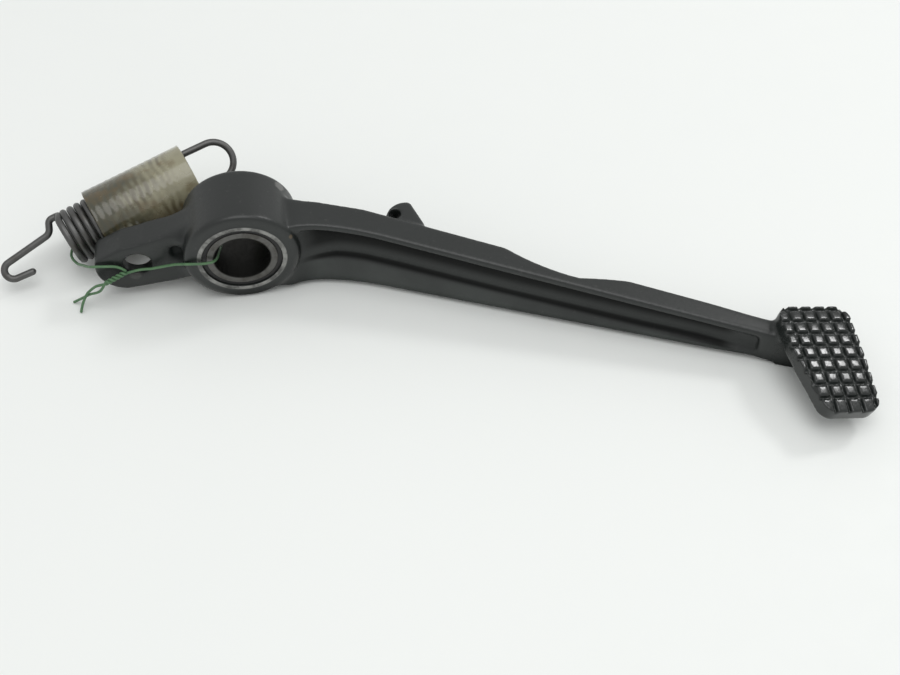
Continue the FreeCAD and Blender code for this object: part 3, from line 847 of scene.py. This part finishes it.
def smooth_join(a, a_way, b, b_way, pull, count):
    """Points of a cubic from a to b, which leaves along a_way and arrives along b_way."""
    t = np.linspace(0.0, 1.0, count)[1:-1, None]
    a_hand = a + np.asarray(a_way) * pull
    b_hand = b - np.asarray(b_way) * pull
    return (1 - t) ** 3 * a + 3 * t * (1 - t) ** 2 * a_hand + 3 * t**2 * (1 - t) * b_hand + t**3 * b


print("lines ready")

# %% Wire builder
DOME_RINGS, DOME_TURN = 5, 0.44 * math.pi
# A direction that no wire starts along, to find its first side vector.
ASKEW = (0.31, 0.57, 0.76)
# The second texture coordinate grows by 1 over this length of wire.
UV_LENGTH = 0.01


def swept_wire(name, line, radius, sides=20):
    """P(i, a) = L(i) + r(i) * (cos a * N(i) + sin a * B(i)), where L is the line, N and B the
    untwisted side vectors, and r the wire's radius, which shrinks over the end domes."""
    ahead = np.gradient(line, axis=0)
    ahead /= np.linalg.norm(ahead, axis=1)[:, None]
    dome = np.linspace(0.0, DOME_TURN, DOME_RINGS + 1)[1:]
    head = line[0] - ahead[0] * (radius * np.sin(dome))[::-1, None]
    tail = line[-1] + ahead[-1] * (radius * np.sin(dome))[:, None]
    centres = np.vstack((head, line, tail))
    head_way, tail_way = (np.repeat(end, DOME_RINGS, axis=0) for end in (ahead[:1], ahead[-1:]))
    ahead = np.vstack((head_way, ahead, tail_way))
    shrunk = radius * np.cos(dome)
    radii = np.concatenate((shrunk[::-1], np.full(len(line), radius), shrunk))
    side = np.cross(ahead[0], ASKEW)
    sides_found = []
    for direction in ahead:
        side = side - direction * side.dot(direction)
        side /= np.linalg.norm(side)
        sides_found.append(side)
    normal = np.array(sides_found)
    binormal = np.cross(ahead, normal)
    angle = np.linspace(0.0, math.tau, sides, endpoint=False)
    cos, sin = np.cos(angle)[None, :, None], np.sin(angle)[None, :, None]
    ring = cos * normal[:, None] + sin * binormal[:, None]
    points = centres[:, None] + radii[:, None, None] * ring
    around = np.abs(angle / math.pi - 1.0)
    along = walked(centres) / UV_LENGTH
    uv = np.stack(np.broadcast_arrays(around[None, :], along[:, None]), axis=-1)
    faces = capped_faces(len(centres), sides)
    return new_mesh(name, points.reshape(-1, 3), faces, uv.reshape(-1, 2))


print("wire builder ready")

# %% [markdown]
# ## Return spring
# The coil is a helix: x grows by one pitch a turn while y = R cos(turn) and z = R sin(turn). At
# its left end the wire leaves the rim, bends in to the axis and turns back in an open U: the free
# hook. At its right end it bends out into a straight leg and an open eye. Both hooks lie in the
# plane z = 0 of the spring's frame, and short cubics join them to the coil. A Screw modifier could
# wind the coil, but not lead it into the hooks, so the whole wire is one line. Lengths are
# millimetres.

# %% Sizes of the spring
WIRE = 2.35
COIL_WIDTH = 19.0
COIL_R = (COIL_WIDTH - WIRE) / 2
PITCH, TURNS = 2.45, 16
COIL_END = -6.5
COIL_START = COIL_END - PITCH * TURNS
# The wire is on the helix from the first of these turns to the last.
FIRST_TURN, LAST_TURN = 0.12, TURNS - 0.1
RIM, SHOULDER, LEAD, REACH = 0.6, 2.8, 4.6, 20.7
ELBOW, BEND = 1.9, 3.0
HOOK_Y, HOOK_DROP, TIP = 4.15, 2.45, 5.2
HOOK_R, HOOK_SWEEP = 2.9, math.radians(168)
EYE_REACH, EYE_DROP = 15.2, 0.3
EYE_R, EYE_SWEEP = 6.6, math.radians(210)
LEG_START = 3.2
# How far the cubics at the coil's two ends pull.
PULL_IN, PULL_OUT = 2.6, 3.4
print("coil length:", round(PITCH * TURNS, 1), "mm")

# %% Coil


def helix(turn):
    """A point of the coil after some turns."""
    turn = np.asarray(turn, dtype=float)
    angle = math.tau * turn
    ahead = COIL_START + PITCH * turn
    return np.stack((ahead, COIL_R * np.cos(angle), COIL_R * np.sin(angle)), axis=-1)


def helix_way(turn):
    """The coil's direction there."""
    angle = math.tau * turn
    return unit((PITCH / math.tau, -COIL_R * math.sin(angle), COIL_R * math.cos(angle)))


print("coil starts at", helix(0.0).round(2))

# %% Hooks


def swung(spoke, angles):
    """The spoke turned about z by each of the angles."""
    across = np.array((-spoke[1], spoke[0], 0.0))
    return np.cos(angles)[:, None] * spoke + np.sin(angles)[:, None] * across


def straight(a, b, count):
    """Evenly spaced points from a to b."""
    return a + np.linspace(0.0, 1.0, count)[:, None] * (np.asarray(b) - a)


def bent(corners, radii, count=12):
    """Straight runs from corner to corner, with an arc of the given radius at each inner one. The
    arc runs between its end spokes P and Q, f apart: (sin((1-t) f) P + sin(t f) Q) / sin f."""
    runs = [corners[:1]]
    for corner, before, after, radius in zip(corners[1:], corners, corners[2:], radii):
        back, ahead = unit(before - corner), unit(after - corner)
        half = 0.5 * math.acos(back @ ahead)
        centre = corner + unit(back + ahead) * radius / math.sin(half)
        cut = radius / math.tan(half)
        first, last = corner + back * cut - centre, corner + ahead * cut - centre
        apart = math.pi - 2 * half
        t = np.linspace(0.0, 1.0, count)[:, None]
        arc = np.sin((1 - t) * apart) * first + np.sin(t * apart) * last
        runs.append(centre + arc / math.sin(apart))
    return np.vstack((*runs, corners[-1:]))


def free_hook():
    """From the coil's left end to the hook's tip."""
    rim = np.array((COIL_START - RIM, COIL_R, 0.0))
    shoulder = np.array((COIL_START - SHOULDER, COIL_R, 0.0))
    lead_in = np.array((COIL_START - LEAD, HOOK_Y, 0.0))
    turn_start = np.array((COIL_START - REACH, HOOK_Y - HOOK_DROP, 0.0))
    shank = unit(turn_start - lead_in)
    spoke = np.array((shank[1], -shank[0], 0.0)) * HOOK_R
    swing = np.linspace(0.0, HOOK_SWEEP, 40)
    back_turn = turn_start - spoke + swung(spoke, swing)
    tip = straight(back_turn[-1], back_turn[-1] + swung(shank, swing[-1:])[0] * TIP, 12)
    shank_line = bent(np.array((rim, shoulder, lead_in, turn_start)), (ELBOW, BEND))
    return np.vstack((shank_line, back_turn[1:], tip[1:]))


print("free hook ends at", free_hook()[-1].round(2))

# %% [markdown]
# ## Spring steel
# Spring wire is drawn through a die, which leaves fine streaks along it, and oil has dulled it.
# Noise that is stretched along the wire's own texture coordinate follows every turn of the coil,
# which noise in object coordinates could not.

# %% Spring steel


def spring_steel():
    """Dull oiled wire. The second texture coordinate runs along the wire, so the streaks of the
    drawing die follow it."""
    material, tree, shader = start("spring_steel_oiled")
    streaks = noise(tree, stretched(tree, wire_uv(tree), (40.0, 6.0, 1.0)), 1.0)
    stain = fade(tree, noise(tree, point(tree), 0.006), 0.48, 0.68)
    colour = layered(
        tree,
        (0.07, 0.071, 0.069),
        (streaks, (0.17, 0.17, 0.166)),
        (times(tree, stain, 0.4), (0.06, 0.052, 0.042)),
    )
    feed(tree, shader, {
        "Base Color": colour,
        "Metallic": 0.9,
        "Roughness": fade(tree, streaks, 0.3, 0.7, 0.36, 0.52),
        "Normal": bump(tree, streaks, 0.00002),
    })
    return material


print("spring steel ready")

# %% Draw the spring


def spring_line():
    """The wire's centre line, from the free hook's tip to the eye's end."""
    hook = free_hook()[::-1]
    first_way, last_way = helix_way(FIRST_TURN), helix_way(LAST_TURN)
    lead_in = smooth_join(hook[-1], (1, 0, 0), helix(FIRST_TURN), first_way, PULL_IN, 20)
    coil = helix(np.linspace(FIRST_TURN, LAST_TURN, 64 * TURNS))
    coil_end = np.array((COIL_END, COIL_R, 0.0))
    leg_end = coil_end + (EYE_REACH, -EYE_DROP, 0.0)
    leg_way = unit(leg_end - coil_end)
    leg_start = coil_end + leg_way * LEG_START
    lead_out = smooth_join(coil[-1], last_way, leg_start, leg_way, PULL_OUT, 18)
    leg = straight(leg_start, leg_end, 16)
    spoke = np.array((-leg_way[1], leg_way[0], 0.0)) * EYE_R
    eye = leg_end - spoke + swung(spoke, np.linspace(0.0, -EYE_SWEEP, 60)[1:])
    return np.vstack((hook, lead_in, coil, lead_out, leg, eye))


spring = swept_wire("return_spring_wire", to_frame(spring_line()), 0.5 * WIRE * MM)
spring.data.materials.append(spring_steel())
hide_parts("return_spring")
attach(spring, "lever")
print("spring points:", len(spring.data.vertices))

# %% [markdown]
# ## Hose
# A short length of clear hose is pushed over the coils. A cylinder with a Solidify modifier would
# do for a new one. This one has taken the coil's shape, so it is a tube of its own with a wall: the
# section's line runs out along the outside, round the cut lip and back along the inside. The radius
# swells a little over each turn of the coil under it, and the cut ends are slightly out of round.

# %% Hose surface
HOSE_LENGTH, HOSE_IN, HOSE_OUT = 34.9, 9.7, 11.7
SWELL, OUT_OF_ROUND, LIP = 0.05, 0.12, 0.4


def hose_surface(rows=120, sides=96):
    """P(s, a): out along the outside, back along the inside. r = wall radius + 0.05 cos(2 pi s /
    pitch - a) over the coils + 0.12 e^4 cos(2 a + 1), with e from 0 midway to 1 at the cut ends."""
    run = np.linspace(-HOSE_LENGTH, 0.0, rows)
    lip = np.linspace(0.0, math.pi, 8)[1:-1]
    half = 0.5 * (HOSE_OUT - HOSE_IN)
    middle = HOSE_IN + half
    bulge = LIP * np.sin(lip)
    s = np.concatenate((run, bulge - 0.5 * LIP, run[::-1], -HOSE_LENGTH - bulge + 0.5 * LIP))
    outside, inside = np.full(rows, HOSE_OUT), np.full(rows, HOSE_IN)
    over = half * np.cos(lip)
    wall = np.concatenate((outside, middle + over, inside, middle - over))[:, None]
    count = len(s)
    s = s[:, None]
    angle = np.linspace(0.0, math.tau, sides, endpoint=False)
    turns = (s - COIL_END) / PITCH
    wave = np.cos(math.tau * (s - COIL_END) / PITCH - angle)
    to_end = 2 * np.abs(s / HOSE_LENGTH + 0.5)
    radius = wall + (s < COIL_END) * SWELL * wave
    radius = radius + OUT_OF_ROUND * to_end**4 * np.cos(2 * angle + 1.0)
    along = np.broadcast_to(s, radius.shape)
    points = np.stack((along, radius * np.cos(angle), radius * np.sin(angle)), axis=-1)
    faces = (grid_faces(count + 1, sides) % (count * sides)).tolist()
    turns = turns - np.minimum(angle, math.tau - angle) / math.tau
    uv = np.stack((turns, 1 + along / HOSE_LENGTH), axis=-1)
    return points.reshape(-1, 3), faces, uv.reshape(-1, 2)


print("hose length:", HOSE_LENGTH, "mm")

# %% [markdown]
# ## Aged plastic
# The hose has gone cloudy, so little light passes through it. Real scattering in a thick wall takes
# many samples. Here the coil's blurred bands are painted on the hose instead, by a texture
# coordinate that counts the coil's turns, and a little transmission and a gloss lie over them.

# %% Hose plastic


def aged_hose():
    """Clouded see-through plastic. The coil shows through as blurred bands: the first texture
    coordinate counts turns of the coil, the second runs from the left end to the right. The left
    end is dark with oil, the right one is still pale, and brown stains lie between and below."""
    material, tree, shader = start("hose_plastic_aged")
    where = point(tree)
    turns, along, _ = axes(tree, wire_uv(tree))
    cloud = noise(tree, where, 0.008)
    smear = times(tree, calc(tree, "SUBTRACT", noise(tree, where, 0.009, 1.0), 0.5), 1.3)
    wave = calc(tree, "SINE", times(tree, calc(tree, "ADD", turns, smear), math.tau))
    bands = times(
        tree,
        fade(tree, wave, -1.0, 1.0),
        fade(tree, along, 0.9, 0.72),
        fade(tree, noise(tree, where, 0.011, 1.0), 0.35, 0.65, 0.2, 0.75),
    )
    pale = calc(tree, "ADD", along, times(tree, calc(tree, "SUBTRACT", cloud, 0.5), 1.1))
    stain = fade(tree, noise(tree, where, 0.007, 2.0), 0.54, 0.70)
    low_side = times(
        tree,
        fade(tree, axes(tree, where)[2], 0.006, -0.006),
        fade(tree, along, 0.35, 0.6),
        fade(tree, along, 0.95, 0.8),
        fade(tree, cloud, 0.35, 0.6, 0.2, 0.7),
    )
    colour = layered(
        tree,
        (0.066, 0.066, 0.043),
        (fade(tree, pale, 0.05, 0.8), (0.31, 0.295, 0.20)),
        (bands, (0.085, 0.072, 0.038)),
        (times(tree, stain, 0.5), (0.13, 0.085, 0.032)),
        (low_side, (0.15, 0.092, 0.034)),
    )
    feed(tree, shader, {
        "Base Color": colour,
        "Transmission Weight": 0.18,
        "IOR": 1.4,
        "Roughness": fade(tree, cloud, 0.3, 0.7, 0.16, 0.34),
        "Coat Weight": 0.6,
        "Coat Roughness": 0.1,
        "Normal": bump(tree, noise(tree, where, 0.003), 0.00012),
    })
    return material


print("hose plastic ready")

# %% Draw the hose
points, faces, uv = hose_surface()
hose = new_mesh("spring_hose_aged", to_frame(points), faces, uv)
hose.data.materials.append(aged_hose())
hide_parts("spring_hose")
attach(hose, "lever")
print("hose points:", len(points))

# %% [markdown]
# ## Tie wire
# One thin green wire ties the spring on. It is threaded through the coils and through the pivot
# bore, and its two ends are twisted together in front of the ear. It is drawn as two strands that
# part inside the spring: each follows its own route, winds round the other along the twist, and
# ends bare. In the twist the strands are P(t) = C(t) +- h (cos(w t) N + sin(w t) B), with C the
# line of the twist and h a little over the wire's radius. Each strand is a curve with a round
# bevel, which suits a plain thin wire. Routes are in millimetres.

# %% Routes of the tie wire
TIE = 0.9
TWIST_FROM = np.array((-37.6, -6.4, -5.2))
TWIST_TO = np.array((-44.2, -8.4, -7.1))
TWIST_TURNS, TWIST_R = 2.5, 0.6 * TIE
IN_SPRING = SPRING_AT / MM + SPRING_TURN @ (0.8, -6.0, 0.0)
BORE_ROUTE = [
    (-7.0, 19.5, -4.6), (-5.4, 14.0, -5.0), (-5.6, 8.0, -5.0), (-6.6, 0.0, -3.4),
    (-7.4, -6.0, -1.1), (-8.0, -9.6, -0.1), (-9.1, -11.9, 0.8), (-10.7, -12.5, 1.1),
    (-12.8, -12.5, 1.0), (-15.9, -12.4, 1.3), (-18.5, -11.3, 0.5), (-21.6, -9.0, -1.6),
    (-25.8, -7.2, -3.8), (-29.8, -6.3, -5.1), (-33.4, -6.0, -5.3),
]
COIL_ROUTE_IN_SPRING = [
    (-6.0, -5.0, 0.0), (-20.0, -4.5, 0.0), (-38.0, -4.0, -0.5), (-45.0, -3.2, -1.5),
    (-47.2, -4.6, -0.6),
]
EAR_ROUTE = [
    (-56.4, 7.4, -10.5), (-54.8, 5.0, -10.6), (-52.6, 2.0, -8.6), (-49.6, -3.2, -4.2),
    (-47.3, -5.8, -1.8), (-44.1, -6.0, -2.0), (-41.1, -6.0, -2.5), (-39.2, -6.1, -3.4),
]
LEFT_END = [(-47.1, -8.6, -10.5), (-50.9, -7.3, -12.9), (-54.0, -6.2, -15.5), (-57.1, -5.2, -18.0)]
DOWN_END = [
    (-47.9, -7.6, -9.0), (-50.4, -7.3, -11.1), (-51.7, -7.5, -12.4), (-53.4, -8.8, -14.9),
    (-54.7, -9.9, -18.0),
]
print("route points:", len(BORE_ROUTE) + len(COIL_ROUTE_IN_SPRING) + len(EAR_ROUTE))

# %% Strands


def through(points, step=0.6):
    """A smooth line through the points. Between two of them it is a cubic whose slope at each is
    half of the step between that point's neighbours. The whole is cut again into even steps."""
    points = np.asarray(points, dtype=float)
    padded = np.vstack((2 * points[0] - points[1], points, 2 * points[-1] - points[-2]))
    t = np.linspace(0.0, 1.0, 12, endpoint=False)[:, None]
    runs = []
    for a, b, c, d in zip(padded, padded[1:], padded[2:], padded[3:]):
        square, cube = 2 * a - 5 * b + 4 * c - d, 3 * b - a - 3 * c + d
        runs.append(0.5 * (2 * b + (c - a) * t + square * t**2 + cube * t**3))
    line = np.vstack((*runs, points[-1:]))
    along = walked(line)
    even = np.linspace(0.0, along[-1], int(along[-1] / step) + 1)
    return np.stack([np.interp(even, along, line[:, axis]) for axis in range(3)], axis=-1)


def twist_strand(side, count=25):
    """One of the two strands of the twist, on the side +1 or -1."""
    way = unit(TWIST_TO - TWIST_FROM)
    normal = unit(np.cross(way, (0.0, 1.0, 0.0)))
    binormal = np.cross(way, normal)
    t = np.linspace(0.0, 1.0, count)[:, None]
    angle = math.tau * TWIST_TURNS * t
    ring = np.cos(angle) * normal + np.sin(angle) * binormal
    return TWIST_FROM + t * (TWIST_TO - TWIST_FROM) + side * TWIST_R * ring


def add_strand(name, route, material):
    """A free cord along the route, in millimetres, that starts inside the spring."""
    line = through(route) * MM
    curve = bpy.data.curves.new(name, "CURVE")
    curve.dimensions = "3D"
    curve.bevel_depth = 0.5 * TIE * MM
    curve.bevel_resolution = 3
    curve.resolution_u = 3
    curve.use_fill_caps = True
    spline = curve.splines.new("NURBS")
    spline.points.add(len(line) - 1)
    spline.points.foreach_set("co", np.hstack((line, np.ones((len(line), 1)))).ravel())
    spline.order_u = 3
    spline.use_endpoint_u = True
    curve.materials.append(material)
    item = bpy.data.objects.new(name, curve)
    bpy.context.scene.collection.objects.link(item)
    length = float(np.linalg.norm(np.diff(line, axis=0), axis=1).sum())
    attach(item, "lever")
    return length


print("strands ready")

# %% Draw the tie wire


def tie_green():
    """Thin green plastic on a tie wire, scuffed."""
    material, tree, shader = start("tie_wire_green")
    where = point(tree)
    shade = noise(tree, where, 0.002)
    feed(tree, shader, {
        "Base Color": blend(tree, shade, (0.035, 0.10, 0.045), (0.11, 0.22, 0.10)),
        "Roughness": fade(tree, noise(tree, where, 0.0008), 0.3, 0.7, 0.35, 0.6),
    })
    return material


green = tie_green()
in_coil = [SPRING_AT / MM + SPRING_TURN @ place for place in COIL_ROUTE_IN_SPRING]
bore_route = [IN_SPRING, *BORE_ROUTE, *twist_strand(1), *LEFT_END]
coil_route = [IN_SPRING, *in_coil, *EAR_ROUTE, *twist_strand(-1), *DOWN_END]
bore_length = add_strand("tie_wire_bore", bore_route, green)
coil_length = add_strand("tie_wire_coil", coil_route, green)
print("tie wire strands in mm:", round(bore_length / MM, 1), round(coil_length / MM, 1))

# %% [markdown]
# ## Studio
# A pale floor at the height of the hub's underside, a large soft lamp above, a small one at the
# right like a window, and an even pale sky. The floor is one large square, because only a plain
# ground and the pedal's shadow are wanted.

# %% Floor
FLOOR_Z, FLOOR_HALF = -18.5 * MM, 4.0


def pale_floor():
    """An even pale table top."""
    material, tree, shader = start("floor_pale")
    where = point(tree)
    shade = noise(tree, where, 0.2)
    feed(tree, shader, {
        "Base Color": blend(tree, shade, (0.80, 0.825, 0.805), (0.83, 0.85, 0.83)),
        "Roughness": fade(tree, noise(tree, where, 0.01), 0.3, 0.7, 0.5, 0.65),
    })
    return material


square = ((-1, -1), (1, -1), (1, 1), (-1, 1))
corners = np.array([(x * FLOOR_HALF, y * FLOOR_HALF, FLOOR_Z) for x, y in square])
floor = new_mesh("floor", corners, [(0, 1, 2, 3)])
floor.data.materials.append(pale_floor())
floor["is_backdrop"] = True
print("floor at", round(FLOOR_Z / MM, 1), "mm")

# %% Light
SKY = 0.68
world = bpy.data.worlds.new("studio")
world.use_nodes = True
sky = world.node_tree.nodes["Background"]
feed(world.node_tree, sky, {"Color": (1.0, 1.0, 1.0), "Strength": SKY})
bpy.context.scene.world = world


def soft_lamp(name, at, target, size, watts):
    """A round lamp of this width, turned to the target."""
    lamp = bpy.data.lights.new(name, "AREA")
    lamp.shape = "DISK"
    lamp.size = size
    lamp.energy = watts
    item = bpy.data.objects.new(name, lamp)
    item.location = at
    item.rotation_euler = (Vector(target) - Vector(at)).to_track_quat("-Z", "Y").to_euler()
    bpy.context.scene.collection.objects.link(item)


soft_lamp("key", (0.1, -0.25, 1.3), (0.07, -0.02, 0.0), 1.2, 6.6)
soft_lamp("window", (0.9, 0.36, 0.84), (0.12, -0.05, 0.0), 0.24, 2.6)
print("lamps:", ", ".join(lamp.name for lamp in bpy.data.lights))

# %% [markdown]
# ## Camera
# The camera stands where the photograph was taken from: the picture of the bore, the hub and the
# spring's hose gave its distance and angle. Its axes are set as a matrix, because no target point
# is known. The picture's middle lies a little below the camera's axis, which is a vertical shift.

# %% Camera
# The shift in columns of a picture that is 900 wide.
SHIFT_DOWN, COLUMNS = 38.5, 900
CAMERA_AT = (0.0232, -0.2885, 0.2953)
RIGHT = Vector((0.9876, -0.1570, 0.0))
BACK = Vector((-0.1022, -0.6427, 0.7593))
UP = BACK.cross(RIGHT)
camera = bpy.data.cameras.new("camera")
camera.lens = 50.0
camera.sensor_width = 36.0
camera.shift_y = -SHIFT_DOWN / COLUMNS
camera.clip_start = 0.01
eye = bpy.data.objects.new("camera", camera)
turn = Matrix((RIGHT, UP, BACK)).transposed().to_4x4()
eye.matrix_world = Matrix.Translation(CAMERA_AT) @ turn
bpy.context.scene.collection.objects.link(eye)
bpy.context.scene.camera = eye
bpy.context.scene.view_settings.view_transform = "Standard"
print("camera at", tuple(round(v, 4) for v in eye.location))

# %% [markdown]
# ## Boxes
# The two boxes are printed, so the dressed model's size can be set against the CAD's.
# The two boxes go to a small file, so the dressed model's size can be set against the CAD's.

# %% Finish
visual_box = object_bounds()
sizes = {"cad": [list(map(float, corner)) for corner in cad_box], "visual": [list(map(float, corner)) for corner in visual_box]}
print("boxes in mm:", {k: (np.array(v) / MM).round(1).tolist() for k, v in sizes.items()})
